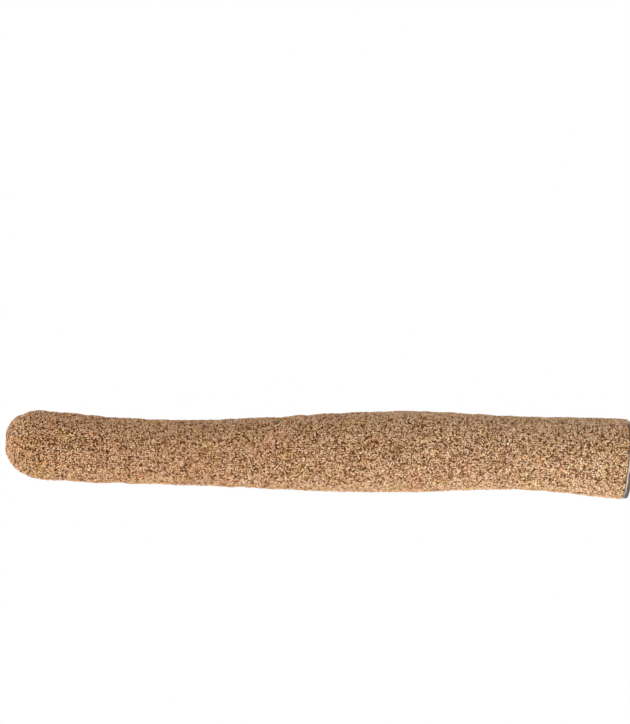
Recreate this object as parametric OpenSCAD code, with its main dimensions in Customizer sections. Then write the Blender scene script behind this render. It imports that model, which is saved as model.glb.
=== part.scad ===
// Bird perch for a cage, in millimetres. A shaped wooden core carries a coat of grit that keeps
// claws short. A stud in its end, two washers and a wing nut clamp it to the cage's wires, which
// pass between the washers. The stud's axis is X, and the origin is the centre of the inner
// washer's clamping face. The perch lies along -X and bends down from the stud's axis.

/* [Perch over its grit] */
// Diameter at the mount end
mount_d = 19.6; // [17:0.1:26]
// Diameter of the waist that follows the mount end
waist_d = 18; // [15:0.1:24]
// Diameter of the belly
belly_d = 19.9; // [16:0.1:26]
// Diameter of the neck behind the head
neck_d = 16; // [13:0.1:22]
// Diameter of the head
head_d = 17; // [14:0.1:24]
// Length from the mount end to the waist
flare_l = 25; // [18:0.5:40]
// Length from the waist to the belly
swell_l = 29; // [20:0.5:50]
// Length from the belly to the neck
taper_l = 58; // [30:0.5:90]
// Length from the neck to the head
nape_l = 28.5; // [15:0.5:45]
// Length of the round tip beyond the head
tip_l = 9.5; // [7:0.5:16]
// Fullness of the tip's curve, where 2 is an ellipse
tip_fullness = 2.2; // [2:0.1:3]
// How far the head lies below the stud's axis
bend_drop = 9; // [0:0.2:14]
// How far the end of the tip is turned up again above the head's centre
tip_rise = 0.8; // [0:0.1:1.5]

/* [Grit coat] */
// Thickness of the coat
coat_t = 1.3; // [0.9:0.1:2.5]
// Rounding of the coat's rim at the mount end
coat_rim_r = 0.3; // [0.2:0.1:0.8]
// Thickness of the glue line between the coat and the wood
glue_t = 0.05; // [0.02:0.01:0.1]

/* [Stud] */
// Diameter over the threads
stud_d = 6.35; // [5:0.05:8]
// Length of the wood screw inside the core, with its point
screw_l = 25; // [15:0.5:35]
// Length of the wood screw's point
point_l = 5; // [3:0.5:8]
// Length that stands out from the core
standout_l = 22; // [18:0.5:40]
// Chamfer on the free end
stud_chamfer = 0.8; // [0.3:0.1:1.2]
// Radial clearance between the stud and its bore in the core
pilot_clearance = 0.05; // [0.02:0.01:0.1]
// Depth of bore left beyond the screw's point
pilot_spare = 1.5; // [0.5:0.5:4]

/* [Washers] */
// Outer diameter
washer_d = 19; // [14:0.1:24]
// Thickness
washer_t = 1.3; // [1:0.1:2.5]
// Radial play between the stud and a washer's hole
washer_play = 0.77; // [0.2:0.01:0.9]
// Rolled edge that the punch leaves
washer_edge = 0.25; // [0.1:0.05:0.4]
// Gap between the two washers, which takes the cage's wires
grip_gap = 5; // [4.5:0.1:7]

/* [Wing nut] */
// Diameter of the hub at its bearing face
hub_base_d = 12.6; // [11:0.1:15]
// Diameter of the hub at its top
hub_top_d = 10; // [9.4:0.1:12]
// Height of the hub
hub_h = 7.2; // [6:0.1:9]
// Rounding of the hub's top edge
hub_round = 0.8; // [0.3:0.1:1.2]
// Span over both wings
wing_span = 27.5; // [24:0.5:34]
// Height of the wings above the bearing face
wing_h = 14; // [12:0.5:18]
// Width of a wing where it leaves the hub
wing_root_w = 5; // [4:0.1:5.4]
// Width of a wing's round lobe
wing_lobe_w = 6.2; // [5:0.1:7]
// Thickness of a wing where it leaves the hub
wing_root_t = 3.8; // [3:0.1:5]
// Thickness of a wing's lobe
wing_lobe_t = 2.4; // [1.8:0.1:3]
// Height above the bearing face at which a wing leaves the hub
wing_root_h = 3.1; // [2.8:0.1:3.6]
// Radial clearance between the nut's bore and the stud
nut_clearance = 0.08; // [0.04:0.01:0.1]
// Countersink at each end of the nut's bore
nut_countersink = 0.5; // [0.2:0.1:0.8]

/* [Hidden] */

$fn = 64;
// Sides of the perch's rings, and rings along its shank and round its tip
perch_sides = 40;
shank_rings = 28;
tip_rings = 7;
rim_rings = 3;
// Sides of a wing's rings, and rings along its spine and round its lobe
wing_sides = 16;
spine_rings = 8;
lobe_rings = 4;
// Squareness of a wing's section, where 2 is an ellipse
wing_squareness = 2.8;
// Overlap of a cut past the face that it opens
cut_over = 1;
// Included angle of the drill that made the core's bore
drill_angle = 118;

// Places along the perch, measured from its mount end, and the diameter at each
station_s = [0, flare_l, flare_l + swell_l, flare_l + swell_l + taper_l,
             flare_l + swell_l + taper_l + nape_l];
station_d = [mount_d, waist_d, belly_d, neck_d, head_d];
last_station = len(station_s) - 1;
head_s = station_s[last_station];

// Places along the stud's axis
core_face_x = -washer_t;
outer_washer_x = grip_gap;
nut_x = outer_washer_x + washer_t;

stud_r = stud_d / 2;
pilot_r = stud_r + pilot_clearance;
pilot_l = screw_l + pilot_spare;
washer_hole_r = stud_r + washer_play;
nut_bore_r = stud_r + nut_clearance;

// A wing's spine, as height above the bearing face and distance from the axis: it starts inside
// the hub's wall, runs outwards and turns up into the lobe
wing_root = [wing_root_h, (nut_bore_r + hub_top_d / 2) / 2];
wing_tip = [wing_h - wing_lobe_w / 2, (wing_span - wing_lobe_w) / 2];
wing_bend = [wing_root_h + 1.4, wing_tip[1] - 1.6];

// Step from 0 to 1 along half a cosine wave
function ease(t) = (1 - cos(180 * t)) / 2;

// Outline of the perch: its diameter eases from each station to the next
function stretch(s, i = 0) =
    i == last_station - 1 || s < station_s[i + 1] ? i : stretch(s, i + 1);
function perch_r(s) =
    let (i = stretch(s), t = (s - station_s[i]) / (station_s[i + 1] - station_s[i]))
    (station_d[i] + (station_d[i + 1] - station_d[i]) * ease(t)) / 2;

// Centre line of the perch: its depth below the stud's axis, and its slope
function depth(s) =
    bend_drop * ease(min(s / head_s, 1)) - tip_rise * pow(max(s - head_s, 0) / tip_l, 2);
function slope(s) = s < head_s ? bend_drop * PI / 2 / head_s * sin(180 * s / head_s) : 0;

// Ring of radius r round the centre line, square to it
function perch_ring(s, r) =
    let (k = slope(s), n = sqrt(1 + k * k))
    [for (i = [0 : perch_sides - 1])
        let (a = 360 * i / perch_sides)
        [core_face_x - s - r * sin(a) * k / n, r * cos(a), -depth(s) + r * sin(a) / n]];

// Rings of the perch's skin, a depth of inset below the grit, from the tip to the distance end_s
function skin_rings(inset, end_s) = [
    for (j = [1 : tip_rings])
        let (a = 90 * j / tip_rings, bulge = 2 / tip_fullness)
        perch_ring(head_s + (tip_l - inset) * pow(cos(a), bulge), (head_d / 2 - inset) * pow(sin(a), bulge)),
    for (j = [1 : shank_rings])
        let (s = head_s + (end_s - head_s) * j / shank_rings)
        perch_ring(s, perch_r(s) - inset)
];
function skin_tip(inset) =
    let (s = head_s + tip_l - inset) [core_face_x - s, 0, -depth(s)];

// Rings of the coat's rim, a quarter round from its side to its end face
function rim_ring_list() = [
    for (j = [1 : rim_rings])
        let (a = 90 * j / rim_rings, s = coat_rim_r * (1 - sin(a)))
        perch_ring(s, perch_r(s) - coat_rim_r * (1 - cos(a)))
];

function reversed(list) = [for (i = [len(list) - 1 : -1 : 0]) list[i]];

// Closed skin over a row of rings, drawn together in a point at each end
module loft(first, rings, last) {
    n = len(rings[0]);
    m = len(rings);
    points = [first, for (r = rings) each r, last];
    fan_in = [for (i = [0 : n - 1]) [0, 1 + i, 1 + (i + 1) % n]];
    sides = [
        for (k = [0 : m - 2], i = [0 : n - 1])
            let (p = 1 + k * n + i, q = 1 + k * n + (i + 1) % n)
            each [[p, p + n, q + n], [p, q + n, q]]
    ];
    fan_out = [
        for (i = [0 : n - 1])
            [len(points) - 1, 1 + (m - 1) * n + (i + 1) % n, 1 + (m - 1) * n + i]
    ];
    polyhedron(points, concat(fan_in, sides, fan_out), convexity = 4);
}

// Turns a shape made about Z so that it lies about X, from x on
module along_x(x = 0) {
    translate([x, 0, 0]) rotate([0, 90, 0]) children();
}

module wood_core() {
    wood_inset = coat_t + glue_t;
    color("burlywood")
    difference() {
        loft(skin_tip(wood_inset), skin_rings(wood_inset, 0), [core_face_x, 0, 0]);
        along_x(core_face_x - pilot_l) cylinder(r = pilot_r, h = pilot_l + cut_over);
        along_x(core_face_x - pilot_l - pilot_r / tan(drill_angle / 2))
            cylinder(r1 = 0, r2 = pilot_r, h = pilot_r / tan(drill_angle / 2));
    }
}

// The coat is one shell: its outer skin, the rim at the mount end, and its inner skin
module grit_coat() {
    color("tan")
    loft(
        skin_tip(0),
        concat(skin_rings(0, coat_rim_r), rim_ring_list(), reversed(skin_rings(coat_t, 0))),
        skin_tip(coat_t)
    );
}

module stud() {
    color("silver")
    along_x(core_face_x)
    rotate_extrude()
    polygon([
        [0, -screw_l],
        [stud_r, point_l - screw_l],
        [stud_r, standout_l - stud_chamfer],
        [stud_r - stud_chamfer, standout_l],
        [0, standout_l]
    ]);
}

// Flat washer about Z, with the punch's rolled edge on its upper face
module washer() {
    rotate_extrude()
    polygon([
        [washer_hole_r, 0],
        [washer_d / 2, 0],
        [washer_d / 2, washer_t - washer_edge],
        [washer_d / 2 - washer_edge, washer_t],
        [washer_hole_r, washer_t]
    ]);
}

module inner_washer() {
    color("silver") along_x(core_face_x) washer();
}

module outer_washer() {
    color("silver") along_x(outer_washer_x) washer();
}

// Section of a wing at the place c, square to the direction t of its spine
function wing_ring(c, t, w, thick) =
    [for (i = [0 : wing_sides - 1])
        let (
            a = 360 * i / wing_sides,
            u = thick / 2 * sign(cos(a)) * pow(abs(cos(a)), 2 / wing_squareness),
            v = w / 2 * sign(sin(a)) * pow(abs(sin(a)), 2 / wing_squareness)
        )
        [c[0] - v * t[1], u, c[1] + v * t[0]]];

function spine(u) = pow(1 - u, 2) * wing_root + 2 * u * (1 - u) * wing_bend + u * u * wing_tip;
function spine_way(u) =
    let (d = (1 - u) * (wing_bend - wing_root) + u * (wing_tip - wing_bend)) d / norm(d);

// One wing of the nut, standing out along +Z from a hub about X
module wing() {
    way = spine_way(1);
    lobe_r = wing_lobe_w / 2;
    along_spine = [
        for (j = [0 : spine_rings])
            let (u = j / spine_rings)
            wing_ring(
                spine(u),
                spine_way(u),
                wing_root_w + (wing_lobe_w - wing_root_w) * ease(u),
                wing_root_t + (wing_lobe_t - wing_root_t) * u
            )
    ];
    round_lobe = [
        for (j = [1 : lobe_rings - 1])
            let (a = 90 * j / lobe_rings)
            wing_ring(wing_tip + way * lobe_r * sin(a), way, wing_lobe_w * cos(a), wing_lobe_t * cos(a))
    ];
    crown = wing_tip + way * lobe_r;
    loft(
        [wing_root[0], 0, wing_root[1]],
        concat(along_spine, round_lobe),
        [crown[0], 0, crown[1]]
    );
}

// Hub of the nut about Z, from its bearing face up
module hub() {
    rotate_extrude()
    polygon([
        [0, 0],
        [hub_base_d / 2 - washer_edge, 0],
        [hub_base_d / 2, washer_edge],
        for (a = [0 : 22.5 : 90])
            [hub_top_d / 2 - hub_round * (1 - cos(a)), hub_h - hub_round * (1 - sin(a))],
        [0, hub_h]
    ]);
}

// Bore of the nut about Z, countersunk at both ends
module nut_bore() {
    sink_r = nut_bore_r + nut_countersink;
    translate([0, 0, -cut_over]) cylinder(r = nut_bore_r, h = hub_h + 2 * cut_over);
    cylinder(r1 = sink_r, r2 = nut_bore_r, h = nut_countersink);
    translate([0, 0, hub_h - nut_countersink]) cylinder(r1 = nut_bore_r, r2 = sink_r, h = nut_countersink);
}

module wing_nut() {
    color("silver")
    translate([nut_x, 0, 0])
    difference() {
        union() {
            along_x() hub();
            for (side = [0, 180]) rotate([side, 0, 0]) wing();
        }
        along_x() nut_bore();
    }
}

wood_core();
grit_coat();
stud();
inner_washer();
outer_washer();
wing_nut();
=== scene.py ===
import math

import bmesh
import bpy
import numpy as np
from mathutils import Matrix, Vector


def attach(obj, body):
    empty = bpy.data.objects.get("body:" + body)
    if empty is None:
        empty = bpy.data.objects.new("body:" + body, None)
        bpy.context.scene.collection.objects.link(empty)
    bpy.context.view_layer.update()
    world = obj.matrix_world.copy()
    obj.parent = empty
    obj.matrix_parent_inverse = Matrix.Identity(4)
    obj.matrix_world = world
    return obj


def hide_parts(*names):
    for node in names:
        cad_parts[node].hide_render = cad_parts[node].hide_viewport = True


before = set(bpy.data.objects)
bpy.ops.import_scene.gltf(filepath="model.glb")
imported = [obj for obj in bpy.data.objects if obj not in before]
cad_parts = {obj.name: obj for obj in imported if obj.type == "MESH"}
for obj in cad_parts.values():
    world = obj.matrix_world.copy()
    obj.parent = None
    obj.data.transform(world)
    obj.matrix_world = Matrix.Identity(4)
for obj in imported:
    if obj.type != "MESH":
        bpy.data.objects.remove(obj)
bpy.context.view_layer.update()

# Wooden core: a turned and bent hardwood dowel with a blind hole in its mount end. The coat
# hides it, and its bare end grain shows only in the ring between the stud and the washer.
MM = 0.001
pith_y, pith_z, pith_wander = 5.2 * MM, -3.4 * MM, 1.6 * MM
year_width, pore_width, pore_depth = 1.15 * MM, 0.16 * MM, 0.06 * MM


def put(tree, kind, wires=(), **settings):
    """Adds a node. settings are its own, and wires sets or links its sockets by name or number."""
    node = tree.nodes.new(kind)
    for key, value in settings.items():
        setattr(node, key, value)
    for key, value in dict(wires).items():
        if isinstance(key, int):
            socket = node.inputs[key]
        else:
            socket = next(s for s in node.inputs if s.name == key and s.enabled)
        if isinstance(value, Figure):
            value = value.socket
        if isinstance(value, bpy.types.NodeSocket):
            tree.links.new(value, socket)
        else:
            socket.default_value = value
    return node


class Figure:
    """A number inside a node tree. Arithmetic on it adds the Math nodes that work it out."""

    def __init__(self, tree, socket):
        self.tree, self.socket = tree, socket

    def do(self, operation, *others):
        wires = dict(enumerate((self, *others)))
        node = put(self.tree, "ShaderNodeMath", wires, operation=operation)
        return Figure(self.tree, node.outputs[0])

    def __add__(self, other):
        return self.do("ADD", other)

    def __sub__(self, other):
        return self.do("SUBTRACT", other)

    def __rsub__(self, other):
        return self.do("MULTIPLY", -1.0).do("ADD", other)

    def __mul__(self, other):
        return self.do("MULTIPLY", other)

    def __truediv__(self, other):
        return self.do("DIVIDE", other)

    def between(self, low, high):
        return self.do("MAXIMUM", low).do("MINIMUM", high)

    def step(self, start, end):
        """0 before start and 1 after end, with a soft passage between them."""
        wires = {"Value": self, "From Min": start, "From Max": end}
        node = put(self.tree, "ShaderNodeMapRange", wires, interpolation_type="SMOOTHSTEP")
        return Figure(self.tree, node.outputs["Result"])


def coordinate(tree, vector, axis):
    return Figure(tree, put(tree, "ShaderNodeSeparateXYZ", {0: vector}).outputs[axis])


def paint(red, green, blue):
    """An sRGB colour, each part from 0 to 255, as the linear colour that a shader takes."""
    linear = []
    for share in (red / 255, green / 255, blue / 255):
        linear.append(share / 12.92 if share < 0.0405 else ((share + 0.055) / 1.055) ** 2.4)
    return (*linear, 1.0)


def new_finish(name, roughness, metallic=0.0):
    """A material with its Principled shader and the piece's own coordinates."""
    finish = bpy.data.materials.new(name)
    finish.use_nodes = True
    tree = finish.node_tree
    shader = tree.nodes["Principled BSDF"]
    shader.inputs["Roughness"].default_value = roughness
    shader.inputs["Metallic"].default_value = metallic
    place = tree.nodes.new("ShaderNodeTexCoord").outputs["Object"]
    return finish, tree, shader, place


def noise(tree, place, size, detail=2.0, roughness=0.5, stretch=(1, 1, 1), turn=(0, 0, 0)):
    """Cloudy pattern whose patches are about size metres across, longer along a stretched axis."""
    scale = [1 / (size * k) for k in stretch]
    wires = {"Vector": place, "Rotation": turn, "Scale": scale}
    mapping = put(tree, "ShaderNodeMapping", wires)
    wires = {"Vector": mapping.outputs[0], "Scale": 1.0, "Detail": detail, "Roughness": roughness}
    return Figure(tree, put(tree, "ShaderNodeTexNoise", wires).outputs[0])


def blend(tree, share, first, second, way="MIX"):
    """Mix of two colours."""
    wires = {0: share, 6: first, 7: second}
    return put(tree, "ShaderNodeMix", wires, data_type="RGBA", blend_type=way).outputs[2]


def dress(tree, shader, colour, roughness):
    """Feeds the shader a colour and a roughness that change over the surface."""
    tree.links.new(colour, shader.inputs["Base Color"])
    tree.links.new(roughness.socket, shader.inputs["Roughness"])


def roughen(tree, shader, height, depth):
    """Bump of a real depth in metres."""
    bump = put(tree, "ShaderNodeBump", {"Height": height, "Distance": depth, "Strength": 1.0})
    tree.links.new(bump.outputs[0], shader.inputs["Normal"])


# Year rings run round a pith that lies off the perch's axis, and fine pores run along the grain
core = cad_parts["wood_core"]
heartwood, tree, shader, place = new_finish("beech_end_grain", 0.72)
wander = noise(tree, place, 4 * MM, stretch=(9, 1, 1)) * pith_wander
off_y = coordinate(tree, place, "Y") - pith_y
off_z = coordinate(tree, place, "Z") - pith_z
from_pith = (off_y * off_y + off_z * off_z).do("SQRT") + wander
late_wood = (from_pith / year_width).do("FRACT").step(0.35, 0.95)
pores = noise(tree, place, pore_width, detail=1, stretch=(14, 1, 1)).step(0.60, 0.70)
end_grain = blend(tree, late_wood, paint(214, 178, 132), paint(176, 132, 88))
end_grain = blend(tree, pores * 0.55, end_grain, paint(122, 84, 52))
dress(tree, shader, end_grain, pores * 0.2 + 0.66)
roughen(tree, shader, pores * -1.0 + late_wood * 0.3, pore_depth)
core.material_slots[0].material = heartwood

# Grit coat: the wood is dipped in brown glue and rolled in sand until it is covered. A bed of
# glue follows the perch's form, and sharp grains of about half a millimetre stand in it.
mount_face = -1.3 * MM
stations = np.cumsum([0, 25, 29, 58, 28.5]) * MM
widths = np.array([19.6, 18.0, 19.9, 16.0, 17.0]) * MM
head = stations[-1]
tip_length, tip_fullness, tip_rise, bend_drop = 9.5 * MM, 2.2, 0.8 * MM, 9 * MM
coat_thickness, rim_round, least_round, end_lip = 1.3 * MM, 0.3 * MM, 0.1 * MM, 0.2 * MM
bed_depth, seat_depth = 0.42 * MM, 0.24 * MM
weld = 0.002 * MM


def half_width(s):
    """Radius over the grit, at a distance from the mount end."""
    i = np.clip(np.searchsorted(stations, s, "right") - 1, 0, len(stations) - 2)
    t = (s - stations[i]) / (stations[i + 1] - stations[i])
    return (widths[i] + (widths[i + 1] - widths[i]) * (1 - np.cos(np.pi * t)) / 2) / 2


def perch_outline(inset, rings, tip_rings, rim_rings):
    """Distance and radius of each ring of the skin that lies inset under the grit, from the tip."""
    a = np.linspace(0, np.pi / 2, tip_rings + 1)[:-1]
    tip = np.stack([
        head + (tip_length - inset) * np.cos(a) ** (2 / tip_fullness),
        (widths[-1] / 2 - inset) * np.sin(a) ** (2 / tip_fullness),
    ], 1)
    s = np.linspace(head, rim_round, rings + 1)
    shank = np.stack([s, half_width(s) - inset], 1)
    if not rim_rings:
        return np.concatenate([tip, shank])
    a = np.linspace(0, np.pi / 2, rim_rings + 1)[1:]
    inner = max(rim_round - inset, least_round)
    s = rim_round - inner * np.sin(a)
    rim = np.stack([s, half_width(s) - inset - inner * (1 - np.cos(a))], 1)
    return np.concatenate([tip, shank, rim])


def drawn(name, points, wavy):
    """Line of points, which a Geometry Nodes tree takes as its outline. The first ones are wavy."""
    mesh = bpy.data.meshes.new(name)
    spots = [(s, float(i < wavy), r) for i, (s, r) in enumerate(points)]
    mesh.from_pydata(spots, [(i, i + 1) for i in range(len(points) - 1)], [])
    piece = bpy.data.objects.new(name, mesh)
    bpy.context.collection.objects.link(piece)
    return piece


def new_tree(name, *inputs):
    """Geometry Nodes tree with named inputs, each a name, a kind and a value to start from."""
    tree = bpy.data.node_groups.new(name, "GeometryNodeTree")
    tree.interface.new_socket("Geometry", in_out="INPUT", socket_type="NodeSocketGeometry")
    tree.interface.new_socket("Geometry", in_out="OUTPUT", socket_type="NodeSocketGeometry")
    for label, kind, value in inputs:
        socket = tree.interface.new_socket(label, in_out="INPUT", socket_type="NodeSocket" + kind)
        if value is not None:
            socket.default_value = value
    given = tree.nodes.new("NodeGroupInput").outputs
    result = tree.nodes.new("NodeGroupOutput").inputs[0]
    return tree, given, result


def grow(piece, *steps):
    """Runs trees on a piece one after another, each with its values, and keeps the plain mesh."""
    for tree, values in steps:
        live = piece.modifiers.new(tree.name, "NODES")
        live.node_group = tree
        for socket in tree.interface.items_tree:
            if socket.in_out == "INPUT" and socket.name in values:
                live[socket.identifier] = values[socket.name]
    bpy.context.view_layer.update()
    seen = piece.evaluated_get(bpy.context.evaluated_depsgraph_get())
    mesh = bpy.data.meshes.new_from_object(seen)
    mesh.name = piece.name
    piece.modifiers.clear()
    piece.data = mesh
    return piece


def geo(tree, kind, wires=(), **settings):
    """First output of a new Geometry Nodes node."""
    return put(tree, "GeometryNode" + kind, wires, **settings).outputs[0]


def attribute(tree, name, kind="FLOAT"):
    return geo(tree, "InputNamedAttribute", {"Name": name}, data_type=kind)


def keep(tree, geometry, name, value, kind="FLOAT", domain="POINT"):
    """Stores a value on the geometry under a name."""
    wires = {"Geometry": geometry, "Name": name, "Value": value}
    return geo(tree, "StoreNamedAttribute", wires, data_type=kind, domain=domain)


def chance(tree, low, high, seed, kind="FLOAT"):
    """Random value for each element, with a seed of its own."""
    at = {"FLOAT_VECTOR": 0, "FLOAT": 2, "INT": 4}[kind]
    node = put(tree, "FunctionNodeRandomValue", {at: low, at + 1: high, "Seed": seed}, data_type=kind)
    return node.outputs[at // 2]


def scaled(tree, vector, factor):
    return put(tree, "ShaderNodeVectorMath", {0: vector, "Scale": factor}, operation="SCALE").outputs[0]


def flat_grid(tree, rows, columns):
    """Grid to be rolled up: its node, and each point's row number and share of a turn."""
    wires = {"Size X": 1.0, "Size Y": 1.0, "Vertices X": rows, "Vertices Y": columns}
    grid = put(tree, "GeometryNodeMeshGrid", wires)
    here = geo(tree, "InputPosition")
    row = ((coordinate(tree, here, "X") + 0.5) * (rows - 1)).do("ROUND")
    return grid, row, coordinate(tree, here, "Y") + 0.5


def hand_out(tree, geometry, given, result):
    """Ends a tree with real instances and the finish."""
    geometry = geo(tree, "RealizeInstances", {"Geometry": geometry})
    geometry = geo(tree, "SetMaterial", {"Geometry": geometry, "Material": given["Finish"]})
    tree.links.new(geometry, result)


# The perch's form: the outline is turned about a straight line, which then takes the bend
form, given, result = new_tree(
    "perch_form",
    ("Sides", "Int", 160),
    ("Mount face", "Float", mount_face),
    ("Head distance", "Float", head),
    ("Bend drop", "Float", bend_drop),
    ("Tip length", "Float", tip_length),
    ("Tip rise", "Float", tip_rise),
    ("Waviness", "Float", 0.46 * MM),
    ("Wave size", "Float", 3.8 * MM),
    ("Deeper at head", "Float", 0.7),
    ("Finish", "Material", None),
)
counted = put(form, "GeometryNodeAttributeDomainSize", {"Geometry": given["Geometry"]})
rings = Figure(form, counted.outputs["Point Count"])
grid, ring, turned = flat_grid(form, rings, Figure(form, given["Sides"]) + 1)
angle = turned * math.tau
wires = {"Geometry": given["Geometry"], "Value": geo(form, "InputPosition"), "Index": ring}
found = geo(form, "SampleIndex", wires, data_type="FLOAT_VECTOR")
distance, radius = coordinate(form, found, "X"), coordinate(form, found, "Z")
to_head = (distance / given["Head distance"]).between(0.0, 1.0)
into_tip = ((distance - given["Head distance"]) / given["Tip length"]).between(0.0, 1.0)
drop = Figure(form, given["Bend drop"])
depth = drop * (1.0 - (to_head * math.pi).do("COSINE")) / 2 - into_tip * into_tip * given["Tip rise"]
slope = drop * (math.pi / 2) / given["Head distance"] * (to_head * math.pi).do("SINE")
up = radius * angle.do("SINE") / (slope * slope + 1.0).do("SQRT")
across = radius * angle.do("COSINE")
along = Figure(form, given["Mount face"]) - distance - up * slope
spot = put(form, "ShaderNodeCombineXYZ", {0: along, 1: across, 2: up - depth}).outputs[0]
skin = keep(form, grid.outputs["Mesh"], "wavy", coordinate(form, found, "Y"))
skin = geo(form, "SetPosition", {"Geometry": skin, "Position": spot})
skin = keep(form, skin, "OFBake", grid.outputs["UV Map"], "FLOAT2", "CORNER")
skin = geo(form, "MergeByDistance", {"Geometry": skin, "Distance": weld})
skin = geo(form, "FlipFaces", {0: skin})

# Its skin is dented between low crests, up to the full waviness, and more so beyond the belly
here = geo(form, "InputPosition")
lumps = scaled(form, here, Figure(form, given["Wave size"]).do("POWER", -1.0))
wires = {"Vector": lumps, "Scale": 1.0, "Detail": 3.0, "Roughness": 0.62}
dents = Figure(form, put(form, "ShaderNodeTexNoise", wires).outputs[0]).step(0.36, 0.90)
sink = dents * given["Waviness"] * -1.0 * attribute(form, "wavy")
beyond_belly = coordinate(form, here, "X").step(-60 * MM, -96 * MM)
sink = sink * (beyond_belly * given["Deeper at head"] + 1.0)
inwards = scaled(form, geo(form, "InputNormal"), sink)
skin = geo(form, "SetPosition", {"Geometry": skin, "Offset": inwards})
skin = geo(form, "RemoveAttribute", {"Geometry": skin, "Name": "wavy"})
hand_out(form, skin, given, result)

# The sand: grains of a few rough shapes are strewn as close as they go, and sit at random
shape_count, knock_depth = 6, 0.34
densest, patches_in_a_metre = 4.8e7, 620.0
strewn, given, result = new_tree(
    "strewn_sand",
    ("Spacing", "Float", 0.335 * MM),
    ("Grain size", "Float", 0.46 * MM),
    ("Headroom", "Float", seat_depth),
    ("Unevenness", "Float", 0.08 * MM),
    ("From", "Float", -1.0),
    ("To", "Float", 1.0),
    ("Bare patches", "Float", 0.74),
    ("Missing grains", "Float", 0.08),
    ("Seed", "Int", 7),
    ("Finish", "Material", None),
)
wires = {
    "Mesh": given["Geometry"], "Distance Min": given["Spacing"], "Density Max": densest,
    "Density Factor": 1.0, "Seed": given["Seed"],
}
strew = put(strewn, "GeometryNodeDistributePointsOnFaces", wires, distribute_method="POISSON")
grains = keep(strewn, strew.outputs["Points"], "up", strew.outputs["Normal"], "FLOAT_VECTOR")
here = geo(strewn, "InputPosition")
x = coordinate(strewn, here, "X")
outside = (Figure(strewn, given["From"]) - x).do("SIGN").do("MAXIMUM", (x - given["To"]).do("SIGN"))
wires = {"Vector": here, "Scale": patches_in_a_metre, "Detail": 2.0}
patches = Figure(strewn, put(strewn, "ShaderNodeTexNoise", wires).outputs[0])
bare = (patches - given["Bare patches"]).do("SIGN")
missing = Figure(strewn, given["Missing grains"]).do("GREATER_THAN", chance(strewn, 0.0, 1.0, 13))
gone = outside.do("MAXIMUM", bare).do("MAXIMUM", missing).do("GREATER_THAN", 0.5)
grains = geo(strewn, "DeleteGeometry", {"Geometry": grains, "Selection": gone})
grains = keep(strewn, grains, "seat", here, "FLOAT_VECTOR")
up = attribute(strewn, "up", "FLOAT_VECTOR")
uneven = Figure(strewn, given["Unevenness"]) * chance(strewn, -1.0, 1.0, 18)
grains = geo(strewn, "SetPosition", {"Geometry": grains, "Offset": scaled(strewn, up, uneven)})
grains = keep(strewn, grains, "tone", chance(strewn, 0.0, 1.0, 11))
grains = keep(strewn, grains, "tint", chance(strewn, 0.0, 1.0, 12))
grains = keep(strewn, grains, "cell", geo(strewn, "InputIndex"))
counted = put(strewn, "GeometryNodeAttributeDomainSize", {"Geometry": grains}, component="POINTCLOUD")
columns = Figure(strewn, counted.outputs["Point Count"]).do("SQRT").do("CEIL")

# Each shape is a ball of twenty faces whose corners are knocked in and out
shapes = put(strewn, "GeometryNodeJoinGeometry")
for shape in range(shape_count):
    ball = put(strewn, "GeometryNodeMeshIcoSphere", {"Radius": 1.0, "Subdivisions": 1})
    faces = keep(strewn, ball.outputs["Mesh"], "OFBake", ball.outputs["UV Map"], "FLOAT2", "CORNER")
    lowest, highest = (-knock_depth,) * 3, (knock_depth,) * 3
    knock = chance(strewn, lowest, highest, 30 + shape, "FLOAT_VECTOR")
    rough = geo(strewn, "SetPosition", {"Geometry": faces, "Offset": knock})
    single = geo(strewn, "GeometryToInstance", {"Geometry": rough})
    strewn.links.new(single, shapes.inputs[0])
half_grain = Figure(strewn, given["Grain size"]) * chance(strewn, 0.86, 1.20, 14) / 2
lengths = chance(strewn, (0.8,) * 3, (1.2,) * 3, 15, "FLOAT_VECTOR")
wires = {
    "Points": grains, "Instance": shapes.outputs[0], "Pick Instance": True,
    "Instance Index": chance(strewn, 0, shape_count - 1, 16, "INT"),
    "Rotation": chance(strewn, (0.0,) * 3, (math.tau,) * 3, 17, "FLOAT_VECTOR"),
    "Scale": scaled(strewn, lengths, half_grain),
}
placed = geo(strewn, "InstanceOnPoints", wires)
solid = geo(strewn, "RealizeInstances", {"Geometry": placed})

# Grains that stand too tall are pressed down level with the coat's skin
wires = {0: here, 1: attribute(strewn, "seat", "FLOAT_VECTOR")}
arm = put(strewn, "ShaderNodeVectorMath", wires, operation="SUBTRACT").outputs[0]
rise = put(strewn, "ShaderNodeVectorMath", {0: arm, 1: up}, operation="DOT_PRODUCT")
height = Figure(strewn, rise.outputs["Value"])
over = (Figure(strewn, given["Headroom"]) - height).do("MINIMUM", 0.0)
solid = keep(strewn, solid, "lift", height / given["Headroom"])
solid = geo(strewn, "SetPosition", {"Geometry": solid, "Offset": scaled(strewn, up, over)})

# Every grain gets a cell of its own on the piece's map, which the ball's low net is drawn up to fill
net_spread_u, net_spread_v, cell_margin = 0.90, 1.90, 0.05
cell = Figure(strewn, attribute(strewn, "cell"))
row = (cell / columns + 0.001).do("FLOOR")
column = cell - row * columns
net = attribute(strewn, "OFBake", "FLOAT_VECTOR")
net_u = coordinate(strewn, net, "X") * net_spread_u + cell_margin
net_v = coordinate(strewn, net, "Y") * net_spread_v + cell_margin
wires = {0: (column + net_u) / columns, 1: (row + net_v) / columns}
where = put(strewn, "ShaderNodeCombineXYZ", wires).outputs[0]
solid = keep(strewn, solid, "OFBake", where, "FLOAT2", "CORNER")
for name in ("up", "seat", "cell"):
    solid = geo(strewn, "RemoveAttribute", {"Geometry": solid, "Name": name})
solid = geo(strewn, "SetShadeSmooth", {"Geometry": solid, "Shade Smooth": False})
hand_out(strewn, solid, given, result)

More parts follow.
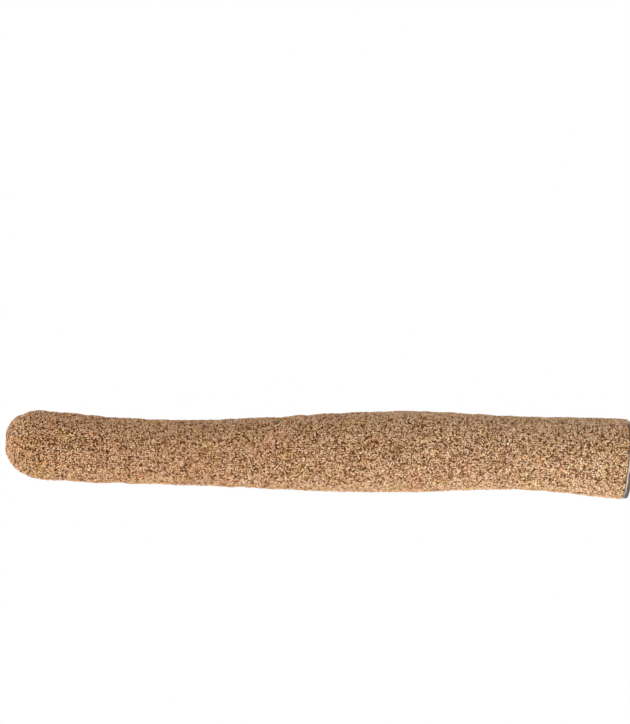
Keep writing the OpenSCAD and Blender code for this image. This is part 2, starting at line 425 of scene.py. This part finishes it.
# Slow drift of colour over the coat: painted shade and a painted warm reflection make the head a little
# darker and redder than the mount end, painted light makes the tip paler, and the sand or the glue
# comes out pink, warm or olive in patches
painted_light_and_tone = bpy.data.node_groups.new("coat_painted_light_and_tone", "ShaderNodeTree")
painted_light_and_tone.interface.new_socket("Colour", in_out="INPUT", socket_type="NodeSocketColor")
painted_light_and_tone.interface.new_socket("Amount", in_out="INPUT", socket_type="NodeSocketFloat")
painted_light_and_tone.interface.new_socket("Colour", in_out="OUTPUT", socket_type="NodeSocketColor")
given = painted_light_and_tone.nodes.new("NodeGroupInput").outputs
place = painted_light_and_tone.nodes.new("ShaderNodeTexCoord").outputs["Object"]
amount = Figure(painted_light_and_tone, given["Amount"])
along = coordinate(painted_light_and_tone, place, "X")
# Painted shade and a painted warm reflection towards the head, and painted light at the tip
painted_light_to_mount = along.step(-140 * MM, mount_face)
painted_light_at_tip = along.step(-143 * MM, -148.5 * MM)
colour = blend(painted_light_and_tone, painted_light_to_mount, (0.99, 0.94, 0.87, 1), (1.08, 1.13, 1.13, 1))
colour = blend(painted_light_and_tone, painted_light_at_tip, colour, (1.17, 1.14, 1.11, 1))
colour = blend(painted_light_and_tone, 1.0, given["Colour"], colour, "MULTIPLY")
for size, turn, start, end, strength, hue in (
    (6.5 * MM, (0.4, 0.2, 0.9), 0.50, 0.74, 0.70, (1.02, 0.93, 0.96, 1)),
    (2.6 * MM, (1.4, 0.8, 0.1), 0.56, 0.76, 0.70, (1.08, 0.96, 0.72, 1)),
    (4.6 * MM, (0.1, 1.9, 0.5), 0.50, 0.70, 0.75, (0.97, 1.00, 0.76, 1)),
):
    patch = noise(painted_light_and_tone, place, size, 2, turn=turn).step(start, end) * strength * amount
    colour = blend(painted_light_and_tone, patch, colour, hue, "MULTIPLY")
painted_light_and_tone.links.new(colour, painted_light_and_tone.nodes.new("NodeGroupOutput").inputs[0])


def with_painted_light_and_tone(tree, colour, amount):
    """A coat colour under the painted shade, painted light and tone patches."""
    node = put(tree, "ShaderNodeGroup", node_tree=painted_light_and_tone)
    tree.links.new(colour, node.inputs["Colour"])
    node.inputs["Amount"].default_value = amount
    return node.outputs["Colour"]


def ramp(tree, share, stops):
    """Colour that runs through stops, each a place from 0 to 1 and a colour."""
    node = put(tree, "ShaderNodeValToRGB", {0: share})
    marks = node.color_ramp.elements
    marks[0].position, marks[1].position = stops[0][0], stops[-1][0]
    marks[0].color, marks[1].color = stops[0][1], stops[-1][1]
    for at, colour in stops[1:-1]:
        marks.new(at).color = colour
    return node.outputs[0]


def stored(tree, name):
    """Value that the mesh carries under a name, as a material reads it."""
    return Figure(tree, put(tree, "ShaderNodeAttribute", attribute_name=name).outputs["Fac"])


glue, tree, shader, place = new_finish("brown_glue", 0.5)
shader.inputs["Specular IOR Level"].default_value = 0.2
cloud = noise(tree, place, 0.7 * MM, 3)
glue_colour = ramp(tree, cloud, [
    (0.30, paint(68, 37, 14)), (0.50, paint(110, 69, 34)), (0.72, paint(150, 102, 58)),
])
dress(tree, shader, with_painted_light_and_tone(tree, glue_colour, 1.0), cloud * 0.3 + 0.35)
roughen(tree, shader, noise(tree, place, 0.25 * MM, 3), 0.1 * MM)

# A grain has its own tone, a few are orange or pink, pale and dark veins cross it, and a film of
# glue browns it near its foot
sand, tree, shader, place = new_finish("brown_sand", 0.6)
shader.inputs["Specular IOR Level"].default_value = 0.3
tone, tint, lift = stored(tree, "tone"), stored(tree, "tint"), stored(tree, "lift")
sand_colour = ramp(tree, tone, [
    (0.00, paint(112, 69, 38)), (0.12, paint(170, 120, 79)), (0.32, paint(207, 162, 122)),
    (0.60, paint(225, 184, 145)), (0.85, paint(237, 200, 163)), (1.00, paint(244, 217, 185)),
])
veins = noise(tree, place, 0.21 * MM, 3)
for share, hue in (
    (tint.step(0.94, 0.98) * 0.45, paint(206, 132, 84)),
    (tint.step(0.07, 0.02) * 0.35, paint(206, 158, 146)),
    (veins.step(0.52, 0.38) * 0.55, paint(124, 82, 50)),
    (veins.step(0.56, 0.68) * 0.32, paint(252, 230, 200)),
    (lift.step(0.0, -0.4) * 0.75, paint(122, 79, 45)),
):
    sand_colour = blend(tree, share, sand_colour, hue)
dress(tree, shader, with_painted_light_and_tone(tree, sand_colour, 1.0), veins * 0.4 + 0.38)
roughen(tree, shader, noise(tree, place, 0.09 * MM, 2), 0.03 * MM)

# The bed is a closed shell: from the tip over the skin, round the rim and back along the core
outer = perch_outline(bed_depth, 330, 34, 5)
inner = perch_outline(coat_thickness, 40, 10, 0)[::-1]
inner[0] = (0.0, widths[0] / 2 - coat_thickness)
lip = [(0.0, widths[0] / 2 - rim_round - end_lip)]
bed = drawn("glue_bed", np.concatenate([outer, lip, inner]), len(outer))
grow(bed, (form, {"Sides": 170, "Finish": glue}))
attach(bed, "perch")
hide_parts("grit_coat")

# The grains are strewn over one form in six lengths, so that no piece has too many triangles
cuts = [0.01, -24 * MM, -48 * MM, -72 * MM, -98 * MM, -125 * MM, -0.2]
parts = ("mount", "waist", "belly", "shank", "neck", "head")
for part, start, end in zip(parts, cuts, cuts[1:]):
    seats = perch_outline(seat_depth, 160, 20, 4)
    grit = drawn("grit_at_" + part, seats, len(seats))
    grow(
        grit,
        (form, {"Sides": 96, "Finish": sand}),
        (strewn, {"From": end, "To": start, "Finish": sand}),
    )
    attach(grit, "perch")

# Stud: a zinc-plated steel hanger bolt. Its wood screw is driven into the core, a short plain
# neck follows, and its machine thread stands out through the washers for the wing nut.
pitch, thread_depth, stud_radius = 1.27 * MM, 0.78 * MM, 3.175 * MM
thread_start, stud_end, end_radius = -4.2 * MM, 20.7 * MM, 2.375 * MM
screw_start, screw_length, screw_radius = -26.3 * MM, 17.6 * MM, 3.12 * MM
neck_start, neck_length, neck_radius = -9.6 * MM, 6.4 * MM, 2.28 * MM

threaded, given, result = new_tree(
    "threaded_rod",
    ("Start", "Float", thread_start),
    ("Length", "Float", stud_end - thread_start),
    ("Radius", "Float", stud_radius),
    ("Pitch", "Float", pitch),
    ("Thread depth", "Float", thread_depth),
    ("Crest share", "Float", 0.16),
    ("Root share", "Float", 0.06),
    ("Start radius", "Float", end_radius),
    ("Start slope", "Float", 1.0),
    ("End radius", "Float", end_radius),
    ("End slope", "Float", 1.0),
    ("Rows in a turn", "Int", 12),
    ("Sides", "Int", 56),
    ("Finish", "Material", None),
)
pace = Figure(threaded, given["Pitch"]) / given["Rows in a turn"]
rows = ((Figure(threaded, given["Length"]) + given["Pitch"]) / pace).do("CEIL") + 3
grid, row, turned = flat_grid(threaded, rows, Figure(threaded, given["Sides"]) + 1)
climb = (row * pace - given["Pitch"] + turned * given["Pitch"]).between(0.0, given["Length"])
groove = (row / given["Rows in a turn"]).do("FRACT").do("PINGPONG", 0.5) * 2
flank = 1.0 - Figure(threaded, given["Root share"]) - given["Crest share"]
cut = ((groove - given["Crest share"]) / flank).between(0.0, 1.0)
reach = Figure(threaded, given["Radius"]) - cut * given["Thread depth"]
left = Figure(threaded, given["Length"]) - climb
reach = reach.do("MINIMUM", climb * given["Start slope"] + given["Start radius"])
reach = reach.do("MINIMUM", left * given["End slope"] + given["End radius"])
closed_end = row.do("LESS_THAN", 0.5).do("MAXIMUM", row.do("GREATER_THAN", rows - 1.5))
reach = reach * (1.0 - closed_end)
angle = turned * math.tau
wires = {0: climb + given["Start"], 1: reach * angle.do("COSINE"), 2: reach * angle.do("SINE")}
spot = put(threaded, "ShaderNodeCombineXYZ", wires).outputs[0]
bar = geo(threaded, "SetPosition", {"Geometry": grid.outputs["Mesh"], "Position": spot})
bar = geo(threaded, "MergeByDistance", {"Geometry": bar, "Distance": weld})
hand_out(threaded, bar, given, result)


def rod(name, values):
    """A rod about the stud's axis, with a thread where its depth isn't 0."""
    return grow(drawn(name, [(0, 0)], 0), (threaded, values))


def tidy(piece, crease=35):
    """Faces outwards, and rounded shading except over edges sharper than crease degrees."""
    work = bmesh.new()
    work.from_mesh(piece.data)
    bmesh.ops.remove_doubles(work, verts=work.verts, dist=0.001 * MM)
    bmesh.ops.dissolve_degenerate(work, edges=work.edges, dist=0.0005 * MM)
    bmesh.ops.recalc_face_normals(work, faces=work.faces)
    work.to_mesh(piece.data)
    work.free()
    piece.data.polygons.foreach_set("use_smooth", [True] * len(piece.data.polygons))
    piece.data.set_sharp_from_angle(angle=math.radians(crease))
    return piece


def joined(name, *parts):
    """One object of several meshes."""
    bpy.ops.object.select_all(action="DESELECT")
    for part in parts:
        part.select_set(True)
    bpy.context.view_layer.objects.active = parts[0]
    bpy.ops.object.join()
    parts[0].name = parts[0].data.name = name
    return parts[0]


# Worn plating: a cloudy bright coat, fine scratches that cross it, and edges rubbed brighter
plating = bpy.data.node_groups.new("zinc_plating", "ShaderNodeTree")
for label, kind, value in (
    ("Bright", "Color", paint(184, 185, 189)),
    ("Dull", "Color", paint(136, 137, 142)),
    ("Scratches", "Float", 1.0),
    ("Rub", "Float", 1.0),
):
    socket = plating.interface.new_socket(label, in_out="INPUT", socket_type="NodeSocket" + kind)
    socket.default_value = value
for label, kind in (("Colour", "Color"), ("Roughness", "Float"), ("Height", "Float")):
    plating.interface.new_socket(label, in_out="OUTPUT", socket_type="NodeSocket" + kind)
given = plating.nodes.new("NodeGroupInput").outputs
place = plating.nodes.new("ShaderNodeTexCoord").outputs["Object"]
cloud = noise(plating, place, 2.4 * MM, 4, 0.6)
mottle = noise(plating, place, 0.34 * MM, 3, 0.6)
down = noise(plating, place, 0.11 * MM, 1, stretch=(1, 22, 1), turn=(0.5, 0.3, 0.9))
across = noise(plating, place, 0.14 * MM, 1, stretch=(1, 1, 26), turn=(1.9, 0.7, 0.2))
scratched = noise(plating, place, 4 * MM, 1).step(0.42, 0.62)
lines = down.step(0.64, 0.72).do("MAXIMUM", across.step(0.65, 0.73)) * scratched * given["Scratches"]
edge = plating.nodes.new("ShaderNodeNewGeometry").outputs["Pointiness"]
rub = Figure(plating, edge).step(0.515, 0.575) * (mottle * 0.8 + 0.45) * given["Rub"]
colour = blend(plating, cloud.step(0.32, 0.68), given["Dull"], given["Bright"])
colour = blend(plating, mottle.step(0.62, 0.44) * 0.28, colour, paint(104, 104, 108))
colour = blend(plating, lines.do("MAXIMUM", rub).between(0.0, 1.0) * 0.7, colour, paint(214, 214, 216))
roughness = cloud * 0.16 + mottle * 0.14 + 0.20 - rub * 0.08 + lines * 0.12
height = mottle * 0.5 - lines * 0.7
finish_out = plating.nodes.new("NodeGroupOutput").inputs
plating.links.new(colour, finish_out["Colour"])
plating.links.new(roughness.socket, finish_out["Roughness"])
plating.links.new(height.socket, finish_out["Height"])


def plated(tree, scratches, rub, dull, bright):
    """The plating's colour, roughness and height with a piece's own values."""
    group = put(tree, "ShaderNodeGroup", node_tree=plating)
    for label, value in (("Scratches", scratches), ("Rub", rub), ("Dull", dull), ("Bright", bright)):
        group.inputs[label].default_value = value
    return group.outputs["Colour"], Figure(tree, group.outputs["Roughness"]), group.outputs["Height"]


def zinc(name, scratches, rub, depth, dull, bright):
    """A plated finish, with its unevenness of a real depth."""
    finish, tree, shader, _ = new_finish(name, 0.35, 1.0)
    colour, roughness, height = plated(tree, scratches, rub, dull, bright)
    dress(tree, shader, colour, roughness)
    roughen(tree, shader, height, depth)
    return finish


thread_zinc = zinc("zinc_on_thread", 0.4, 0.9, 0.012 * MM, paint(132, 133, 138), paint(184, 185, 189))
machine = rod("machine_thread", {"Finish": thread_zinc})
screw = rod("wood_screw", {
    "Start": screw_start, "Length": screw_length, "Radius": screw_radius, "Pitch": 2.6 * MM,
    "Thread depth": 0.86 * MM, "Crest share": 0.05, "Start radius": 0.12 * MM, "Start slope": 0.6,
    "End radius": 2.2 * MM, "End slope": 0.4, "Rows in a turn": 16, "Sides": 40, "Finish": thread_zinc,
})
neck = rod("plain_neck", {
    "Start": neck_start, "Length": neck_length, "Radius": neck_radius, "Thread depth": 0.0,
    "Start radius": 2.1 * MM, "End radius": 2.1 * MM, "Rows in a turn": 3, "Sides": 40,
    "Finish": thread_zinc,
})
stud = tidy(joined("hanger_stud", machine, screw, neck), 28)
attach(stud, "perch")
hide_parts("stud")

# Washers: two flat rings punched from sheet steel and zinc-plated. The punch shears about a third of
# the edge smooth and tears the rest, which stays rough, and that band is coloured dark. They grip the
# cage's wires.
washer_radius, hole_radius, washer_sheet, wire_gap = 9.5 * MM, 3.945 * MM, 1.3 * MM, 5.0 * MM
roll, sheared, tear = 0.16 * MM, 0.45 * MM, 0.14 * MM
ledge, back_off = 0.03 * MM, 0.02 * MM
face_rings = [4.8 * MM, 5.8 * MM, 7.2 * MM, 8.4 * MM]


def ring_of(name, outline, x, sides, finish):
    """Solid ring turned about the stud's axis from a closed outline of heights and radii."""
    heights, radii = np.array(outline).T
    a = np.linspace(0, math.tau, sides, endpoint=False)[:, None]
    spots = np.stack([x + heights + 0 * a, radii * np.cos(a), radii * np.sin(a)], -1)
    n = len(outline)
    faces = [
        (i * n + j, i * n + (j + 1) % n, (i + 1) % sides * n + (j + 1) % n, (i + 1) % sides * n + j)
        for i in range(sides) for j in range(n)
    ]
    mesh = bpy.data.meshes.new(name)
    mesh.from_pydata(spots.reshape(-1, 3).tolist(), [], faces)
    mesh.materials.append(finish)
    piece = bpy.data.objects.new(name, mesh)
    bpy.context.collection.objects.link(piece)
    return piece


def corner(height, radius, across, up, steps, start=0):
    """Quarter round between a face and an edge, from its start angle in degrees."""
    a = np.radians(np.linspace(start, start + 90, steps))
    return [(height + up * math.sin(k), radius + across * math.cos(k)) for k in a]


punched = (
    corner(roll, washer_radius - roll, roll, roll, 5, start=270)
    + [(sheared, washer_radius), (sheared + ledge, washer_radius - back_off)]
    + [(washer_sheet - ledge, washer_radius - tear), (washer_sheet, washer_radius - tear - back_off)]
    + [(washer_sheet, radius) for radius in face_rings[::-1]]
    + [(washer_sheet, hole_radius + tear + back_off), (washer_sheet - ledge, hole_radius + tear)]
    + [(sheared + ledge, hole_radius + back_off), (sheared, hole_radius)]
    + corner(roll, hole_radius + roll, roll, roll, 5, start=180)
    + [(0.0, radius) for radius in face_rings]
)
washer_zinc, tree, shader, place = new_finish("zinc_on_washer", 0.35, 1.0)
# The washer's plating is duller than the other zinc, and its warm tint is a painted reflection of warm
# surroundings
colour, roughness, height = plated(tree, 1.0, 0.8, paint(124, 112, 104), paint(168, 153, 142))
torn_dark_band = stored(tree, "torn_dark_band")
grooves = noise(tree, place, 0.09 * MM, 3, 0.6, stretch=(9, 1, 1))
# The band past the shear is coloured dark brown-grey and grooved
dark_band_colour = blend(tree, grooves.step(0.35, 0.65), paint(58, 50, 44), paint(112, 104, 97))
dress(tree, shader, blend(tree, torn_dark_band, colour, dark_band_colour), torn_dark_band * 0.2 + roughness + 0.12)
roughen(tree, shader, torn_dark_band * grooves * 3.0 + height, 0.02 * MM)
for name, node, x, body in (
    ("inner_grip_washer", "inner_washer", mount_face, "perch"),
    ("outer_grip_washer", "outer_washer", wire_gap, "outer_washer"),
):
    washer = tidy(ring_of(name, punched, x, 160, washer_zinc))
    edge = washer.data.attributes.new("torn_dark_band", "FLOAT", "POINT")
    for vertex in washer.data.vertices:
        level = vertex.co.x - x
        turn = math.atan2(vertex.co.z, vertex.co.y)
        edge.data[vertex.index].value = float(sheared + 0.01 * MM < level < washer_sheet - 0.01 * MM)
        if abs(level - sheared) < 0.05 * MM:
            ragged = 0.05 * math.sin(7 * turn + x / MM) + 0.04 * math.sin(19 * turn)
            ragged += 0.02 * math.sin(43 * turn)
            vertex.co.x += ragged * MM
    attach(washer, body)
    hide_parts(node)

# Wing nut: cast in one piece, with two wings that lean out of a tapered hub into round lobes,
# then drilled, countersunk, tapped and plated. It is turned by hand against the outer washer.
nut_face = wire_gap + washer_sheet
hub_length, hub_base, hub_top, hub_core = 7.2 * MM, 6.3 * MM, 5.0 * MM, 2.0 * MM
base_round, top_round = 0.25 * MM, 0.8 * MM
tap_radius, tap_depth = stud_radius + 0.08 * MM, 0.60 * MM
nut_span, nut_height, lobe_width, lobe_thickness = 27.5 * MM, 14 * MM, 6.2 * MM, 2.4 * MM
root_width, root_thickness, bend_height, bend_inset = 5.0 * MM, 3.8 * MM, 4.5 * MM, 1.6 * MM
wing_sides, squareness, deepest_dish, dish_start = 40, 2.8, 0.26, 0.55
smoothing_room = 0.03 * MM

hub = (
    [(0.0, hub_core), (0.0, hub_base - base_round)]
    + corner(base_round, hub_base - base_round, base_round, -base_round, 4, start=90)[::-1]
    + [(hub_length - top_round, hub_top)]
    + corner(hub_length - top_round, hub_top - top_round, top_round, top_round, 7)
    + [(hub_length, hub_core)]
)
cast_zinc = zinc("zinc_on_casting", 0.6, 1.0, 0.035 * MM, paint(138, 139, 144), paint(184, 185, 190))
hub_ring = ring_of("hub", hub, nut_face, 96, cast_zinc)


def wing_ring(centre, way, width, thickness, dish):
    """Section of a wing square to its spine, a squarish oval that is dished in its middle."""
    a = np.linspace(0, math.tau, wing_sides, endpoint=False)
    u = thickness / 2 * np.sign(np.cos(a)) * np.abs(np.cos(a)) ** (2 / squareness)
    v = width / 2 * np.sign(np.sin(a)) * np.abs(np.sin(a)) ** (2 / squareness)
    u = u * (1 - dish * np.clip(1 - (2 * v / width) ** 2 * 1.6, 0, 1) ** 1.5)
    return np.stack([nut_face + centre[0] - v * way[1], u, centre[1] + v * way[0]], 1)


# The spine bends from its root in the hub's wall to the lobe's centre, and the lobe closes round it
root = np.array([lobe_width / 2, (tap_radius + hub_top) / 2])
tip = np.array([nut_height - lobe_width / 2, (nut_span - lobe_width) / 2 - smoothing_room])
bend = np.array([bend_height, tip[1] - bend_inset])
sections = []
for t in np.linspace(0, 1, 30):
    spine = (1 - t) ** 2 * root + 2 * t * (1 - t) * bend + t * t * tip
    way = (1 - t) * (bend - root) + t * (tip - bend)
    way = way / np.linalg.norm(way)
    eased = (1 - math.cos(math.pi * t)) / 2
    width = root_width + (lobe_width - root_width) * eased
    thickness = root_thickness + (lobe_thickness - root_thickness) * t
    dish = deepest_dish * max(0.0, (t - dish_start) / (1 - dish_start)) ** 1.5
    sections.append(wing_ring(spine, way, width, thickness, dish))
for a in np.radians(np.linspace(8, 84, 11)):
    centre = tip + way * lobe_width / 2 * math.sin(a)
    width, thickness = lobe_width * math.cos(a), lobe_thickness * math.cos(a) ** 0.8
    sections.append(wing_ring(centre, way, width, thickness, deepest_dish * math.cos(a) ** 2))
spots = np.concatenate(sections)
n = wing_sides
faces = [
    (k * n + i, k * n + (i + 1) % n, (k + 1) * n + (i + 1) % n, (k + 1) * n + i)
    for k in range(len(sections) - 1) for i in range(n)
]
faces += [tuple(range(n))[::-1], tuple((len(sections) - 1) * n + i for i in range(n))]
wings = []
for side in (1, -1):
    mesh = bpy.data.meshes.new("wing")
    mesh.from_pydata((spots * (1, side, side)).tolist(), [], faces)
    wing = bpy.data.objects.new("wing", mesh)
    bpy.context.collection.objects.link(wing)
    wings.append(wing)
nut = joined("cast_wing_nut", tidy(hub_ring), *[tidy(w) for w in wings])

melt = nut.modifiers.new("melt", "REMESH")
melt.mode, melt.voxel_size, melt.use_smooth_shade = "VOXEL", 0.15 * MM, True
soften = nut.modifiers.new("soften", "SMOOTH")
soften.factor, soften.iterations = 0.5, 5
grow(nut)

# The tap has the stud's pitch and starts a whole number of turns from it, so the threads mesh
tap = tidy(rod("tap", {
    "Start": thread_start + 7 * pitch, "Length": 13 * pitch, "Radius": tap_radius,
    "Thread depth": tap_depth, "Crest share": 0.26, "Start radius": tap_radius - tap_depth,
    "End radius": tap_radius - tap_depth, "Rows in a turn": 10, "Sides": 48,
}))


def cone(name, x, depth, wide, narrow):
    """Round cutter about the stud's axis, wide at x and narrow at a depth beyond it."""
    work = bmesh.new()
    sizes = {"segments": 64, "radius1": wide, "radius2": narrow, "depth": abs(depth)}
    bmesh.ops.create_cone(work, cap_ends=True, **sizes)
    mesh = bpy.data.meshes.new(name)
    work.to_mesh(mesh)
    work.free()
    if depth < 0:
        mesh.transform(Matrix.Rotation(math.pi, 4, "X"))
    mesh.transform(Matrix.Translation((x + depth / 2, 0, 0)) @ Matrix.Rotation(math.pi / 2, 4, "Y"))
    piece = bpy.data.objects.new(name, mesh)
    bpy.context.collection.objects.link(piece)
    return piece


skim, sink_depth, sink_wide, sink_narrow = 0.04 * MM, 1.3 * MM, 3.9 * MM, 2.6 * MM
hub_end = nut_face + hub_length
cutters = [
    cone("face_mill", nut_face + skim, -2 * MM, 9 * MM, 9 * MM),
    cone("lower_sink", nut_face - 0.1 * MM, sink_depth, sink_wide, sink_narrow),
    cone("upper_sink", hub_end + 0.1 * MM, -sink_depth, sink_wide, sink_narrow),
    tap,
]
for cutter in cutters:
    drill = nut.modifiers.new(cutter.name, "BOOLEAN")
    drill.operation, drill.object, drill.solver = "DIFFERENCE", cutter, "EXACT"
grow(nut)
for cutter in cutters:
    bpy.data.objects.remove(cutter)
nut.data.materials.clear()
nut.data.materials.append(cast_zinc)
nut.data.polygons.foreach_set("material_index", [0] * len(nut.data.polygons))
tidy(nut, 32)
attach(nut, "wing_nut")
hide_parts("wing_nut")

# Floor, lights and camera: the perch hangs level over a white floor in soft light, most of
# which comes back up from below. The camera looks along +Y and leans a little, so that the
# perch slopes as it does in the photograph.
floor_z, floor_glow, sky_light = -0.32, 0.5, 0.47
middle = (-0.065, 0, -0.004)
lean, camera_distance = math.radians(5.06), 0.7
picture_left, picture_up = 0.07498, 0.02358


def background_rays(tree):
    """1 where the background is seen, straight or in metal or glass, and 0 where it lights."""
    rays = tree.nodes.new("ShaderNodeLightPath").outputs
    seen = Figure(tree, rays["Is Camera Ray"]).do("MAXIMUM", rays["Is Glossy Ray"])
    return seen.do("MAXIMUM", rays["Is Transmission Ray"])


bpy.ops.mesh.primitive_plane_add(size=3.2, location=(middle[0], 0, floor_z))
floor = bpy.context.object
floor.name = "floor"
paper, tree, shader, _ = new_finish("white_floor", 0.9)
shader.inputs["Base Color"].default_value = (0.86, 0.86, 0.86, 1)
shader.inputs["Emission Color"].default_value = (1, 1, 1, 1)
tree.links.new((background_rays(tree) * floor_glow).socket, shader.inputs["Emission Strength"])
floor.data.materials.append(paper)

world = bpy.data.worlds.new("studio")
bpy.context.scene.world = world
world.use_nodes = True
sky = world.node_tree.nodes["Background"]
sky.inputs["Color"].default_value = (1, 1, 1, 1)
brightness = background_rays(world.node_tree) * (1 - sky_light) + sky_light
world.node_tree.links.new(brightness.socket, sky.inputs["Strength"])


def softbox(name, place, size, power):
    """Soft lamp that faces the perch's middle and isn't seen itself."""
    lamp = bpy.data.lights.new(name, "AREA")
    lamp.shape, lamp.size, lamp.size_y, lamp.energy = "RECTANGLE", *size, power
    lamp_object = bpy.data.objects.new(name, lamp)
    bpy.context.collection.objects.link(lamp_object)
    lamp_object.location = place
    lamp_object.rotation_euler = (Vector(middle) - Vector(place)).to_track_quat("-Z", "Y").to_euler()
    lamp_object.visible_camera = False


softbox("under_light", (0.08, -0.16, floor_z + 0.02), (0.8, 0.4), 2.3)
softbox("front_light", (0.38, -0.60, 0.08), (0.5, 0.4), 1.9)
softbox("left_light", (-0.60, -0.12, 0.0), (0.3, 0.3), 1.1)
softbox("back_light", (0.05, 0.62, 0.14), (0.5, 0.4), 1.5)

right = Vector((math.cos(lean), 0, math.sin(lean)))
above = Vector((-math.sin(lean), 0, math.cos(lean)))
aim = Vector((mount_face, 0, 0)) - picture_left * right + picture_up * above
camera = bpy.data.objects.new("camera", bpy.data.cameras.new("camera"))
bpy.context.collection.objects.link(camera)
camera.data.lens = 143.67
camera.data.sensor_width = 36
camera.data.clip_start, camera.data.clip_end = 0.05, 20
camera.location = aim - Vector((0, camera_distance, 0))
camera.rotation_mode = "QUATERNION"
camera.rotation_quaternion = Matrix((right, above, Vector((0, -1, 0)))).transposed().to_quaternion()
bpy.context.scene.camera = camera

bpy.context.scene.view_settings.view_transform = "Standard"
